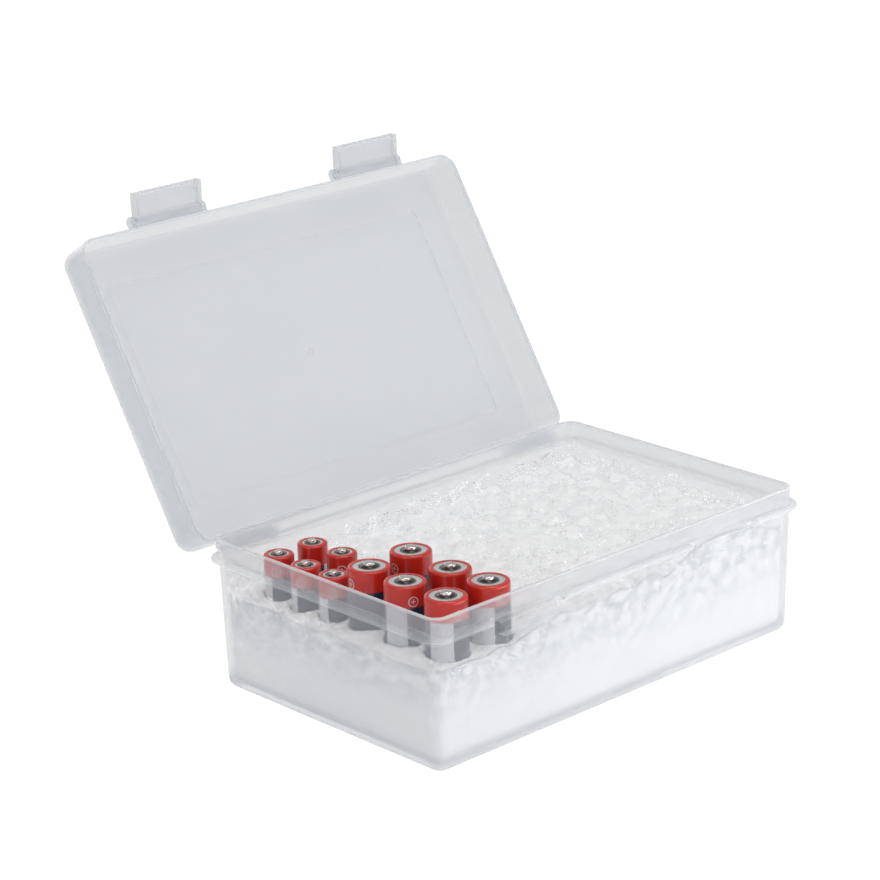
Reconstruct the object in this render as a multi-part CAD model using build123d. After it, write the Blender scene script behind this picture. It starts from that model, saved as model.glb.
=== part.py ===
from build123d import *
import os
from math import cos, radians, sin, tan

# Hinged storage case in frosted polypropylene, shown open, with eleven dry
# cells standing in clear packing film. Millimetres, +Z up. The origin is the
# centre of the tub's underside; the front (latch side) faces -Y.

# ---- case: driving sizes -------------------------------------------------
rim_length = 175.6          # outside of the rim, along X
rim_width = 111.4           # outside of the rim, along Y
tub_height = 54.6           # underside to the top of the rim
tub_wall = 1.6
floor_thickness = 1.8
corner_radius = 5.0         # upright corners, outside
foot_radius = 3.6           # rounded lower edge, outside
tub_draft = 1.15            # degrees that the walls lean outwards
rim_height = 6.5            # rim above the bead
rim_wall = 1.2              # the rim is thinner than the wall, which leaves a step
rim_round = 0.4             # rounding of the rim's top, inside and outside
bead_reach = 2.7            # bead outside the wall
bead_edge = 1.1             # upright edge of the bead
bead_height = 3.4           # bead with its sloping underside
bead_round = 0.4            # rounding of the bead's two outer edges
joint_lap = 1.0             # pieces run this far into what they are joined to or cut from

lid_depth = 16.2            # bead level to the outside of the panel
lid_wall = 1.1
panel_thickness = 1.4
lid_draft = 1.3             # degrees
skirt_gap = 0.4             # lid skirt to rim, all round
seat_gap = 0.1              # lid edge to bead, when shut
lid_edge_radius = 3.8       # rounded edge between skirt and panel
stack_inset = 14.0          # edge of the raised stacking panel, from the lid's outside
stack_rise = 0.8
stack_corner = 3.0
stack_round = 0.35          # rounding of the raised panel's edge
lip_round = 0.35            # rounding of the skirt's lower edge
lid_opening = 121.7         # degrees from shut to the stop
gate_radius = 1.6           # moulding gate mark at the middle of the panel
gate_height = 0.5

# ---- lid hinges ----------------------------------------------------------
hinge_spacing = 138.0       # centre to centre
hinge_out = 3.6             # axis behind the rim's outside
hinge_up = 0.75             # axis above the bead level
bar_radius = 1.6
running_gap = 0.05          # radial, bar in bore
knuckle_wall = 0.9
knuckle_length = 19.2
ear_thickness = 3.0
end_gap = 0.4               # knuckle to ear, each side
ear_radius = 1.85
ear_drop = 6.4              # root of the ear's gusset below the axis
ear_top = 0.2               # top of the ear's arm below the bead level
ear_slant = 0.7             # where the gusset meets the ear's round end, as a share of its radius
heel_gap = 0.15             # stop heel to the rear wall
heel_height = 1.8

# ---- latches and catches -------------------------------------------------
latch_spacing = 95.0        # centre to centre
latch_width = 29.8
latch_plate = 1.4
latch_reach = 10.4          # pivot to tip
latch_swing = 60.0          # degrees from hooked to the photographed place
latch_bar_radius = 1.1
latch_knuckle_wall = 0.95
latch_up = 1.9              # pivot above the bead level
latch_skirt_gap = 0.25      # latch knuckle to skirt
latch_ear = 1.6
latch_end_gap = 0.3         # latch knuckle to its ears
flange_thickness = 1.5      # ribs down both sides of the latch
flange_depth = 1.8
hook_reach = 1.6            # hook rib, in from the plate
hook_thickness = 1.5
hook_tip = 0.6              # hook rib above the latch's tip
catch_gap = 0.4             # latch to catch, every way
catch_height = 4.7
catch_side_gap = 0.5        # catch to the latch's side ribs
catch_slope = 1.6           # lead-in at the top of the catch
latch_round = 0.4           # rounding of the latch plate's outer edges
catch_round = 0.3
bead_notch_gap = 0.3        # bead to the latch ears, each side
notch_margin = 0.1          # the notches run this far past the bead, up and down

# ---- packing film and cells ----------------------------------------------
fill_left = 36.5            # top of the packing film at the left end
fill_right = 40.5           # and at the right end
fill_gap = 0.3              # film to wall
fill_spare = 5.0            # the block is made this much too high, then cut to its slope
hole_gap = 0.1              # film to cell
lump_pitch = (14.2, 13.4)   # soft lumps in the top of the film, along X and Y
lump_shift = 7.1            # every second row of lumps is moved along by this
lump_radius = 9.5
lump_rise = 2.2             # crown of a lump above the slope
lump_sink = 0.6             # its base below the slope
lump_rows = 4               # rows each side of the middle
lump_reach = (82.0, 50.0)   # none with its middle further out than this
lump_columns = 6
hump_place = (52.0, -50.0)  # heap of film against the front wall, right of the middle
hump_radius = 60.0
hump_rise = 6.6
cell_floor = 7.0            # the cells stand this high above the table
sleeve_thickness = 0.2
sleeve_lap = 0.7            # sleeve folded in over the cell's shoulder
end_bare = 0.6              # can below the sleeve
washer_thickness = 0.4
washer_width = 1.0          # washer's edge outside the nub
cap_flange = 0.3            # foot of the positive cap, above the washer


class CellSize:
    """Outside sizes of one kind of round dry cell."""

    def __init__(self, diameter, length, nub_radius, nub_height, crimp):
        self.radius = diameter / 2
        self.length = length
        self.nub_radius = nub_radius
        self.nub_height = nub_height
        self.crimp = crimp                      # rounding of the can's ends
        self.shoulder = length - nub_height     # where the sleeve ends


large = CellSize(diameter=14.5, length=50.5, nub_radius=2.7, nub_height=1.4, crimp=0.8)
small = CellSize(diameter=10.5, length=44.5, nub_radius=1.85, nub_height=1.0, crimp=0.6)

# Places of the cells, from the tub's outer left front corner: two columns of
# three large cells, then a column of three and one of two small ones. Each is
# a little off its row, as loose cells stand.
large_first = (15.6, 11.3)
large_pitch = (18.9, 19.1)
large_nudge = [(0.0, 0.2), (-0.3, 0.1), (0.9, -0.2), (-0.1, -0.1), (-0.7, -1.8), (1.6, 0.7)]
small_first = (12.6, 63.3)
small_pitch = (16.0, 14.1)
small_nudge = [(0.3, 0.0), (-0.1, -0.3), (0.5, 0.2), (0.2, -0.4), (-0.4, 0.1)]
small_rows = [0, 1, 2, 1, 2]
small_columns = [0, 0, 0, 1, 1]

# ---- what follows from them ----------------------------------------------
bead_level = tub_height - rim_height
hinge_y = rim_width / 2 + hinge_out
hinge_z = bead_level + hinge_up
lid_length = rim_length + 2 * (skirt_gap + lid_wall)
lid_width = rim_width + 2 * (skirt_gap + lid_wall)
lid_bottom = bead_level + seat_gap
lid_top = bead_level + lid_depth
skirt_front = -lid_width / 2
latch_knuckle = latch_bar_radius + running_gap + latch_knuckle_wall
latch_y = skirt_front - latch_skirt_gap - latch_knuckle
latch_z = bead_level + latch_up
plate_in = latch_y + latch_knuckle - latch_plate - catch_gap
catch_out = plate_in + catch_gap
hook_top = latch_z - latch_reach + hook_tip + hook_thickness
catch_bottom = hook_top + catch_gap
catch_half = latch_width / 2 - flange_thickness - catch_side_gap
hinge_centres = [-hinge_spacing / 2, hinge_spacing / 2]
latch_centres = [-latch_spacing / 2, latch_spacing / 2]
hinge_axis = Axis((0, hinge_y, hinge_z), (1, 0, 0))
latch_axis = Axis((0, latch_y, latch_z), (1, 0, 0))

os.makedirs("parts", exist_ok=True)


def save(solid, name):
    """Write one piece under its own name."""
    solid.label = name
    export_step(solid, f"parts/{name}.step")


def plate_at(length, width, radius, z):
    """A rounded rectangle lying at height z."""
    return Plane.XY.offset(z) * RectangleRounded(length, width, radius)


def drafted(length, width, radius, low, high, degrees):
    """A rounded block from low to high whose given size is at its top."""
    step = 2 * (high - low) * tan(radians(degrees))
    bottom = plate_at(length - step, width - step, radius, low)
    return loft([bottom, plate_at(length, width, radius, high)])


def block(low, high):
    """A box between two corners."""
    size = [b - a for a, b in zip(low, high)]
    middle = [(a + b) / 2 for a, b in zip(low, high)]
    return Pos(*middle) * Box(*size)


def bar(x, half, y, z, radius):
    """A round bar along X, centred on x."""
    return Pos(x, y, z) * Rot(0, 90, 0) * Cylinder(radius, 2 * half)


def profile(points, x, half):
    """A side outline in Y and Z, carried along X for half each way."""
    outline = make_face(Polyline(*[(0, y, z) for y, z in points], close=True))
    return Pos(x - half, 0, 0) * extrude(outline, amount=2 * half, dir=(1, 0, 0))


def outer_size(z):
    """Length and width outside the tub wall at height z."""
    lean = 2 * (tub_height - z) * tan(radians(tub_draft))
    return rim_length - lean, rim_width - lean


# ---- tub -----------------------------------------------------------------
def tub_body():
    """The open box: drafted walls, a rounded foot, a step below the thin rim."""
    shell = drafted(rim_length, rim_width, corner_radius, 0, tub_height, tub_draft)
    shell = fillet(shell.faces().sort_by(Axis.Z)[0].edges(), foot_radius)
    length, width = outer_size(bead_level)
    inside = drafted(length - 2 * tub_wall, width - 2 * tub_wall, corner_radius - tub_wall,
                     floor_thickness, bead_level, tub_draft)
    inside = fillet(inside.faces().sort_by(Axis.Z)[0].edges(), foot_radius - tub_wall)
    mouth = drafted(rim_length - 2 * rim_wall, rim_width - 2 * rim_wall,
                    corner_radius - rim_wall, bead_level, tub_height, tub_draft)
    body = shell - inside - mouth
    return fillet(body.faces().sort_by(Axis.Z)[-1].edges(), rim_round)


def bead():
    """The ledge all round that the lid's edge sits on, sloped underneath."""
    tip = bead_level - bead_edge
    root = bead_level - bead_height
    length, width = outer_size(bead_level)
    out = 2 * bead_reach
    radius = corner_radius + bead_reach
    edge = loft([plate_at(length + out, width + out, radius, tip),
                 plate_at(length + out, width + out, radius, bead_level)])
    low_length, low_width = outer_size(root)
    slope = loft([plate_at(low_length, low_width, corner_radius, root),
                  plate_at(length + out, width + out, radius, tip)])
    core_length, core_width = outer_size(bead_level)
    core = plate_at(core_length - tub_wall, core_width - tub_wall, corner_radius - tub_wall / 2,
                    root - joint_lap)
    ledge = edge + slope
    ledge = fillet(ledge.faces().sort_by(Axis.Z)[-1].edges(), bead_round)
    ledge = fillet(ledge.edges().filter_by_position(Axis.Z, tip, tip), bead_round)
    return ledge - extrude(core, amount=bead_height + 2 * joint_lap)


def bead_gaps():
    """Where the bead is left out: at both catches and at both lid knuckles."""
    reach = bead_reach + joint_lap
    low, high = bead_level - bead_height - notch_margin, bead_level + notch_margin
    latch_half = latch_width / 2 + latch_ear + bead_notch_gap
    knuckle_half = knuckle_length / 2 + end_gap
    front = -rim_width / 2
    lean = rim_height * tan(radians(tub_draft))
    gaps = [block((x - latch_half, front - reach, low), (x + latch_half, front + lean, high))
            for x in latch_centres]
    gaps += [block((x - knuckle_half, -front - lean, low), (x + knuckle_half, -front + reach, high))
             for x in hinge_centres]
    return gaps


def catch(x):
    """The ledge that a latch hooks under, with a lead-in slope on top."""
    wall = -rim_width / 2 + tub_wall
    top = catch_bottom + catch_height
    points = [(wall, catch_bottom), (catch_out, catch_bottom), (catch_out, top - catch_slope),
              (catch_out + catch_slope, top), (wall, top)]
    ledge = profile(points, x, catch_half)
    return fillet(ledge.faces().sort_by(Axis.Y)[0].edges(), catch_round)


def hinge_ears(x):
    """Two ears with gussets on the rear wall, and the bar between them."""
    root = rim_width / 2 - tub_wall
    arm_top = bead_level - ear_top
    foot = hinge_y + ear_radius * ear_slant
    points = [(root, arm_top), (hinge_y, arm_top), (foot, hinge_z - ear_radius * ear_slant),
              (root, hinge_z - ear_drop)]
    pieces = []
    for side in (-1, 1):
        middle = x + side * (knuckle_length / 2 + end_gap + ear_thickness / 2)
        pieces.append(profile(points, middle, ear_thickness / 2))
        pieces.append(bar(middle, ear_thickness / 2, hinge_y, hinge_z, ear_radius))
    pieces.append(bar(x, knuckle_length / 2 + end_gap + ear_thickness / 2,
                      hinge_y, hinge_z, bar_radius))
    return pieces


def tub_cavity_guard():
    """The clear inside of the tub, to trim whatever is joined to its walls."""
    length, width = outer_size(bead_level)
    return drafted(length - 2 * tub_wall, width - 2 * tub_wall, corner_radius - tub_wall,
                   floor_thickness + foot_radius, bead_level, tub_draft)


def base_tub():
    """Tub with bead, catches and the fixed half of both hinges."""
    ledge = bead()
    for gap in bead_gaps():
        ledge = ledge - gap
    tub = tub_body() + ledge
    for x in latch_centres:
        tub = tub + catch(x)
    for x in hinge_centres:
        for piece in hinge_ears(x):
            tub = tub + piece
    return tub - tub_cavity_guard()


# ---- lid, built shut and then turned open ---------------------------------
def lid_shell():
    """Skirt, panel with its raised stacking step, hinge knuckles, latch ears."""
    lean = 2 * (lid_top - lid_bottom) * tan(radians(lid_draft))
    shell = loft([plate_at(lid_length, lid_width, corner_radius + skirt_gap + lid_wall, lid_bottom),
                  plate_at(lid_length - lean, lid_width - lean, corner_radius + skirt_gap, lid_top)])
    shell = fillet(shell.faces().sort_by(Axis.Z)[-1].edges(), lid_edge_radius)
    inside_top = lid_top - panel_thickness
    less = 2 * (inside_top - lid_bottom) * tan(radians(lid_draft))
    inside_length = lid_length - 2 * lid_wall
    inside_width = lid_width - 2 * lid_wall
    inside = loft([plate_at(inside_length, inside_width, corner_radius + skirt_gap, lid_bottom),
                   plate_at(inside_length - less, inside_width - less, corner_radius - lid_wall,
                            inside_top)])
    inside = fillet(inside.faces().sort_by(Axis.Z)[-1].edges(), lid_edge_radius - lid_wall)
    shell = shell - inside
    shell = fillet(shell.faces().sort_by(Axis.Z)[0].edges(), lip_round)
    stack = plate_at(lid_length - 2 * stack_inset, lid_width - 2 * stack_inset, stack_corner,
                     inside_top + stack_rise)
    stack = extrude(stack, amount=panel_thickness)
    stack = fillet(stack.faces().sort_by(Axis.Z)[-1].edges(), stack_round)
    hollow = plate_at(lid_length - 2 * (stack_inset + panel_thickness),
                      lid_width - 2 * (stack_inset + panel_thickness),
                      stack_corner - panel_thickness / 2, inside_top)
    lid = shell + stack - extrude(hollow, amount=stack_rise)
    lid = lid + Pos(0, 0, inside_top + stack_rise - gate_height / 2) * Cylinder(gate_radius, gate_height)
    for x in hinge_centres:
        lid = lid + knuckle_root(x)
    for x in latch_centres:
        for piece in latch_ears(x):
            lid = lid + piece
    lid = lid.rotate(hinge_axis, -lid_opening)
    for x in hinge_centres:
        lid = lid + stop_heel(x)
        lid = lid - bar(x, knuckle_length / 2 + joint_lap, hinge_y, hinge_z, bar_radius + running_gap)
    return lid


def knuckle_root(x):
    """One lid knuckle and the web that joins it to the rear skirt."""
    outer = bar_radius + running_gap + knuckle_wall
    skirt_back = lid_width / 2 - lid_wall / 2
    web = block((x - knuckle_length / 2, skirt_back, lid_bottom),
                (x + knuckle_length / 2, hinge_y, hinge_z + outer))
    return bar(x, knuckle_length / 2, hinge_y, hinge_z, outer) + web


def stop_heel(x):
    """The heel that meets the rear wall when the lid is open, and stops it."""
    reach = hinge_out - heel_gap
    return block((x - knuckle_length / 2, hinge_y - reach, hinge_z - heel_height / 2),
                 (x + knuckle_length / 2, hinge_y - bar_radius, hinge_z + heel_height / 2))


def latch_ears(x):
    """Two ears on the front skirt and the bar that the latch snaps on."""
    pieces = []
    skirt_in = skirt_front + lid_wall / 2
    ear_half = latch_ear / 2
    for side in (-1, 1):
        middle = x + side * (latch_width / 2 + ear_half)
        pieces.append(bar(middle, ear_half, latch_y, latch_z, latch_knuckle))
        pieces.append(block((middle - ear_half, latch_y, lid_bottom),
                            (middle + ear_half, skirt_in, latch_z + latch_knuckle)))
    pieces.append(bar(x, latch_width / 2 + ear_half, latch_y, latch_z, latch_bar_radius))
    return pieces


# ---- latch, built hooked and then turned with the lid ----------------------
def latch(x):
    """A plate on a snap-on knuckle, with side ribs and a hook rib inside."""
    tip = latch_z - latch_reach
    half = latch_width / 2
    plate_out = plate_in - latch_plate
    knuckle_half = half - latch_end_gap
    clear = latch_z - latch_knuckle - latch_end_gap
    neck = block((x - knuckle_half, plate_out, clear), (x + knuckle_half, plate_in, latch_z))
    plate = block((x - half, plate_out, tip), (x + half, plate_in, clear))
    outside = plate.faces().sort_by(Axis.Y)[0]
    plate = fillet(outside.edges().sort_by(Axis.Z)[:-1], latch_round)
    body = bar(x, knuckle_half, latch_y, latch_z, latch_knuckle) + neck + plate
    for side in (-1, 1):
        middle = x + side * (half - flange_thickness / 2)
        body = body + block((middle - flange_thickness / 2, plate_in, tip),
                            (middle + flange_thickness / 2, plate_in + flange_depth, clear))
    body = body + block((x - half, plate_in, tip + hook_tip),
                        (x + half, plate_in + hook_reach, tip + hook_tip + hook_thickness))
    body = body - bar(x, half + joint_lap, latch_y, latch_z, latch_bar_radius + running_gap)
    return body.rotate(latch_axis, -latch_swing).rotate(hinge_axis, -lid_opening)


# ---- packing film ----------------------------------------------------------
def slope_at(x):
    """Height of the film's slope, without its lumps."""
    return fill_left + (fill_right - fill_left) * (x / rim_length + 0.5)


def dome(x, y, radius, rise):
    """The cap of a ball that rises this much above the slope at x."""
    base = slope_at(x) - lump_sink
    ball = Pos(x, y, slope_at(x) + rise - radius) * Sphere(radius)
    return ball & block((x - radius, y - radius, base), (x + radius, y + radius, base + radius))


def lump_places():
    """Staggered rows of lumps, but none on the side of the hump."""
    around_hump = (hump_radius ** 2 - (hump_radius - hump_rise - lump_sink) ** 2) ** 0.5 + lump_radius
    places = []
    for row in range(-lump_rows, lump_rows + 1):
        for column in range(-lump_columns, lump_columns + 1):
            x = column * lump_pitch[0] + (row % 2) * lump_shift
            y = row * lump_pitch[1]
            off = ((x - hump_place[0]) ** 2 + (y - hump_place[1]) ** 2) ** 0.5
            if off > around_hump and abs(x) < lump_reach[0] and abs(y) < lump_reach[1]:
                places.append((x, y))
    return places


def packing_fill(places):
    """The mass of crumpled film that fills the tub and holds the cells."""
    top = max(fill_left, fill_right)
    level = bead_level - top
    length, width = outer_size(bead_level)
    less = 2 * (tub_wall + fill_gap + level * tan(radians(tub_draft)))
    mass = drafted(length - less, width - less, corner_radius - tub_wall, floor_thickness, top,
                   tub_draft)
    mass = fillet(mass.faces().sort_by(Axis.Z)[0].edges(), foot_radius - tub_wall)
    end = rim_length / 2
    lid_off = make_face(Polyline((-end, 0, fill_left), (end, 0, fill_right),
                                 (end, 0, top + fill_spare), (-end, 0, top + fill_spare), close=True))
    mass = mass - Pos(0, rim_width, 0) * extrude(lid_off, amount=2 * rim_width, dir=(0, -1, 0))
    crowns = [dome(*hump_place, hump_radius, hump_rise)] + [dome(x, y, lump_radius, lump_rise)
                                                            for x, y in lump_places()]
    high = top + hump_rise
    more = 2 * hump_rise * tan(radians(tub_draft))
    walls = drafted(length - less + more, width - less + more, corner_radius - tub_wall,
                    floor_thickness + foot_radius, high, tub_draft)
    mass = mass + [crown & walls for crown in crowns]
    for size, (x, y) in places:
        hole = Cylinder(size.radius + hole_gap, high, align=(Align.CENTER, Align.CENTER, Align.MIN))
        mass = mass - Pos(x, y, cell_floor) * hole
    return mass


# ---- cells -----------------------------------------------------------------
def spun(points, x, y):
    """Turn a half outline of radius and height about the cell's own axis."""
    outline = make_face(Polyline(*[(r, 0, z) for r, z in points], close=True))
    return Pos(x, y, cell_floor) * revolve(outline, Axis.Z, 360)


def cell_can(size, x, y):
    """The sealed steel can, chamfered at its foot and shoulder."""
    radius = size.radius - sleeve_thickness
    top = size.shoulder - sleeve_thickness
    crimp = size.crimp
    points = [(0, 0), (radius - crimp, 0), (radius, crimp), (radius, top - crimp),
              (radius - crimp, top), (size.nub_radius + washer_width, top),
              (size.nub_radius + washer_width, top - washer_thickness), (0, top - washer_thickness)]
    return spun(points, x, y)


def cell_sleeve(size, x, y):
    """The printed sleeve, shrunk in over the shoulder at the top."""
    inner = size.radius - sleeve_thickness
    top = size.shoulder - sleeve_thickness
    crimp = size.crimp
    points = [(inner, end_bare + crimp), (size.radius, end_bare + crimp),
              (size.radius, size.shoulder - crimp), (size.radius - crimp, size.shoulder),
              (inner - crimp - sleeve_lap, size.shoulder), (inner - crimp - sleeve_lap, top),
              (inner - crimp, top), (inner, top - crimp)]
    return spun(points, x, y)


def cell_washer(size, x, y):
    """The insulating ring round the positive cap."""
    top = size.shoulder - sleeve_thickness
    hole = size.nub_radius + cap_flange
    points = [(hole, top - washer_thickness), (size.nub_radius + washer_width, top - washer_thickness),
              (size.nub_radius + washer_width, top), (hole, top)]
    return spun(points, x, y)


def cell_cap(size, x, y):
    """The positive cap: a foot in the washer and the raised nub."""
    top = size.shoulder - sleeve_thickness
    foot = size.nub_radius + cap_flange
    edge = cap_flange
    points = [(0, top - washer_thickness), (foot, top - washer_thickness), (foot, top),
              (size.nub_radius, top), (size.nub_radius, size.length - edge),
              (size.nub_radius - edge, size.length), (0, size.length)]
    return spun(points, x, y)


def cell_places():
    """Name, size and plan position of every cell."""
    corner = (-rim_length / 2, -rim_width / 2)
    places = []
    for number, nudge in enumerate(large_nudge):
        column, row = divmod(number, 3)
        x = corner[0] + large_first[0] + column * large_pitch[0] + nudge[0]
        y = corner[1] + large_first[1] + row * large_pitch[1] + nudge[1]
        places.append((f"large_cell_{number + 1}", large, (x, y)))
    for number, nudge in enumerate(small_nudge):
        x = corner[0] + small_first[0] + small_columns[number] * small_pitch[0] + nudge[0]
        y = corner[1] + small_first[1] + small_rows[number] * small_pitch[1] + nudge[1]
        places.append((f"small_cell_{number + 1}", small, (x, y)))
    return places


cells = cell_places()
save(base_tub(), "base_tub")
save(lid_shell(), "lid_shell")
save(latch(latch_centres[0]), "latch_left")
save(latch(latch_centres[1]), "latch_right")
save(packing_fill([(size, place) for name, size, place in cells]), "packing_fill")
for name, size, (x, y) in cells:
    save(cell_can(size, x, y), f"{name}_can")
    save(cell_sleeve(size, x, y), f"{name}_sleeve")
    save(cell_washer(size, x, y), f"{name}_washer")
    save(cell_cap(size, x, y), f"{name}_cap")

# Pivots of the lid and of the latches in the open pose, for whoever drives them.
swing = radians(lid_opening)
from_hinge = (latch_y - hinge_y, latch_z - hinge_z)
pivot_y = hinge_y + from_hinge[0] * cos(swing) + from_hinge[1] * sin(swing)
pivot_z = hinge_z - from_hinge[0] * sin(swing) + from_hinge[1] * cos(swing)
print(f"lid hinge y {hinge_y:.3f} z {hinge_z:.3f}; latch pivots y {pivot_y:.3f} z {pivot_z:.3f}")
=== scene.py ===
# %% [markdown]
# A frosted storage case for dry cells, open, with eleven cells standing in crumpled clear film.
# The measured solids come in as a fixed frame. Everything below either gives one of those solids
# its finish or puts a better surface in its place, in metres and in the same coordinates, so
# nothing has to be fitted by eye.

import bpy
import numpy as np
from mathutils import Matrix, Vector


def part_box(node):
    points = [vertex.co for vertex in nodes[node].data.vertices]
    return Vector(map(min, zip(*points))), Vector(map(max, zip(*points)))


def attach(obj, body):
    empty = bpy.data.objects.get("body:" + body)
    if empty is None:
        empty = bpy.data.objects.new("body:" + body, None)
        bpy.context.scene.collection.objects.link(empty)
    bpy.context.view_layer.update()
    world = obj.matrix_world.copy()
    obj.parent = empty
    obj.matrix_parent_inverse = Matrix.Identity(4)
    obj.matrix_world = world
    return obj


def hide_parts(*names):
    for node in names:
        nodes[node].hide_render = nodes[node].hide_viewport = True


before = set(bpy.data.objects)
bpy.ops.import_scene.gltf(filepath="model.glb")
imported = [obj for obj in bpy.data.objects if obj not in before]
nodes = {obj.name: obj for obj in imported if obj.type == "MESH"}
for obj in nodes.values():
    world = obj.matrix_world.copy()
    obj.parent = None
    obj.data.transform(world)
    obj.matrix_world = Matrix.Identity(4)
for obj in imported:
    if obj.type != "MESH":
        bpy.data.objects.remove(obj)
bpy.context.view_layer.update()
MM = 0.001
scene = bpy.context.scene
print("frame of", len(nodes), "solids")

# %% [markdown]
# ## Camera
# A camera is a place and three directions: right, up and backwards. The photograph was taken with
# a long lens a metre away, which keeps the case's edges nearly parallel. A long lens is chosen
# here too: a short one close by would make the near corner bulge.

# %% Camera
CAMERA_PLACE = (-683.80, -700.11, 408.74)            # millimetres
CAMERA_RIGHT = (0.72576, -0.68742, -0.02528)
CAMERA_UP = (0.23587, 0.21400, 0.94813)
FOCAL_LENGTH = 122.39

lens = bpy.data.cameras.new("long_lens")
lens.lens = FOCAL_LENGTH
lens.sensor_width = 36.0
lens.clip_end = 20.0
camera = bpy.data.objects.new("camera", lens)
right = np.array(CAMERA_RIGHT) / np.linalg.norm(CAMERA_RIGHT)
back = np.cross(right, CAMERA_UP)
back /= np.linalg.norm(back)
up = np.cross(back, right)
turn = Matrix([list(row) for row in np.stack([right, up, back], axis=1)]).to_4x4()
turn.translation = [c * MM for c in CAMERA_PLACE]
camera.matrix_world = turn
scene.collection.objects.link(camera)
scene.camera = camera
scene.view_settings.view_transform = "Standard"
print("camera looks along", np.round(-back, 3))

# %% [markdown]
# ## Surfaces from arrays
# Every new piece is a grid of points. A row of the grid runs round or along the piece, and the rows
# follow each other along its profile. Faces join each point to its neighbours, so one helper can
# make a can, a ring or a crumpled sheet. It also closes the ends, and turns the faces outwards by
# the sign of the enclosed volume, because a hand-made mesh is easily inside out.

# %% Grid to mesh
def grid_faces(rows, columns, join_rows, join_columns):
    """Corner numbers of the quads between neighbouring points of a rows x columns grid; a joined
    direction goes on from its last line to its first."""
    r = np.arange(rows if join_rows else rows - 1)
    c = np.arange(columns if join_columns else columns - 1)
    r, c = [a.ravel() for a in np.meshgrid(r, c, indexing="ij")]
    r1, c1 = (r + 1) % rows, (c + 1) % columns
    return np.stack([r * columns + c, r * columns + c1, r1 * columns + c1, r1 * columns + c], 1)


def enclosed_volume(points, triangles):
    """Sum of the signed volumes of the tetrahedra from the origin to each triangle."""
    a, b, c = (points[triangles[:, k]] for k in range(3))
    return float(np.einsum("ij,ij->i", a, np.cross(b, c)).sum() / 6.0)


def mesh_piece(name, points, quads, triangles=None, map_uv=None, smooth=True):
    """Object at the origin with these points and faces. map_uv gives a place on the label or the
    pattern for each corner of the quads."""
    tris = np.empty((0, 3), int) if triangles is None else triangles
    both = np.concatenate([quads[:, [0, 1, 2]], quads[:, [0, 2, 3]], tris])
    if enclosed_volume(points, both) < 0:
        quads, tris = quads[:, ::-1], tris[:, ::-1]
        map_uv = None if map_uv is None else map_uv[:, ::-1]
    mesh = bpy.data.meshes.new(name)
    mesh.vertices.add(len(points))
    mesh.vertices.foreach_set("co", np.ascontiguousarray(points, np.float32).ravel())
    corners = np.concatenate([quads.ravel(), tris.ravel()]).astype(np.int32)
    mesh.loops.add(len(corners))
    mesh.loops.foreach_set("vertex_index", corners)
    counts = np.concatenate([np.full(len(quads), 4), np.full(len(tris), 3)])
    mesh.polygons.add(len(counts))
    mesh.polygons.foreach_set("loop_start", (np.cumsum(counts) - counts).astype(np.int32))
    mesh.polygons.foreach_set("use_smooth", np.full(len(counts), smooth))
    mesh.update(calc_edges=True)
    if map_uv is not None:
        layer = mesh.uv_layers.new(name="label")
        flat = np.zeros((len(corners), 2), np.float32)
        flat[: 4 * len(quads)] = map_uv.reshape(-1, 2)
        layer.uv.foreach_set("vector", flat.ravel())
    mesh.validate()
    piece = bpy.data.objects.new(name, mesh)
    scene.collection.objects.link(piece)
    return piece


# %% [markdown]
# ## Floor and light
# The case stands on a white sweep in a white room, so there is hardly a shadow. The backdrop is
# pure white where the lens sees it directly and a little darker where it is seen through the
# plastic, because frosted plastic mixes in the room around it. Four soft lights do the modelling:
# one above, a low card that makes the front the brightest side, one on the left for the metal and
# the rims, and one behind that shines through the lid and the film.

# %% Floor
def new_material(name):
    """An empty node material: (material, its nodes, its links)."""
    material = bpy.data.materials.new(name)
    material.use_nodes = True
    material.node_tree.nodes.clear()
    return material, material.node_tree.nodes, material.node_tree.links


def value_node(n, link, operation, *inputs, clamp=False):
    """A Math node whose inputs are numbers or other sockets."""
    node = n.new("ShaderNodeMath")
    node.operation = operation
    node.use_clamp = clamp
    for slot, given in zip(node.inputs, inputs):
        if isinstance(given, (int, float)):
            slot.default_value = given
        else:
            link.new(given, slot)
    return node.outputs["Value"]


def mix_colour(n, link, mask, under, over):
    """Colour over where mask is one and under elsewhere; each is a socket or a colour."""
    node = n.new("ShaderNodeMix")
    node.data_type = "RGBA"
    link.new(mask, node.inputs["Factor"])
    for key, given in (("A", under), ("B", over)):
        if isinstance(given, tuple):
            node.inputs[key].default_value = (*given, 1)
        else:
            link.new(given, node.inputs[key])
    return node.outputs["Result"]


def map_node(n, link, value, source=(0.0, 1.0), target=(0.0, 1.0)):
    """A value carried evenly from one range to another, and held at its ends."""
    node = n.new("ShaderNodeMapRange")
    for key, limits in (("From", source), ("To", target)):
        node.inputs[key + " Min"].default_value = limits[0]
        node.inputs[key + " Max"].default_value = limits[1]
    link.new(value, node.inputs["Value"])
    return node.outputs["Result"]


def noise_node(n, link, place, scale, detail):
    """Value of a noise with this scale and detail at a place."""
    node = n.new("ShaderNodeTexNoise")
    node.inputs["Scale"].default_value = scale
    node.inputs["Detail"].default_value = detail
    link.new(place, node.inputs["Vector"])
    return node.outputs["Fac"]


def bump_node(n, link, height, strength, distance):
    """Normal of a surface with this relief; strength is a number or a socket."""
    node = n.new("ShaderNodeBump")
    node.inputs["Distance"].default_value = distance
    link.new(height, node.inputs["Height"])
    if isinstance(strength, float):
        node.inputs["Strength"].default_value = strength
    else:
        link.new(strength, node.inputs["Strength"])
    return node.outputs["Normal"]


def parts_node(n, link, vector):
    """The three parts of a vector or a colour."""
    node = n.new("ShaderNodeSeparateXYZ")
    link.new(vector, node.inputs[0])
    return [node.outputs[k] for k in "XYZ"]


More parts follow.
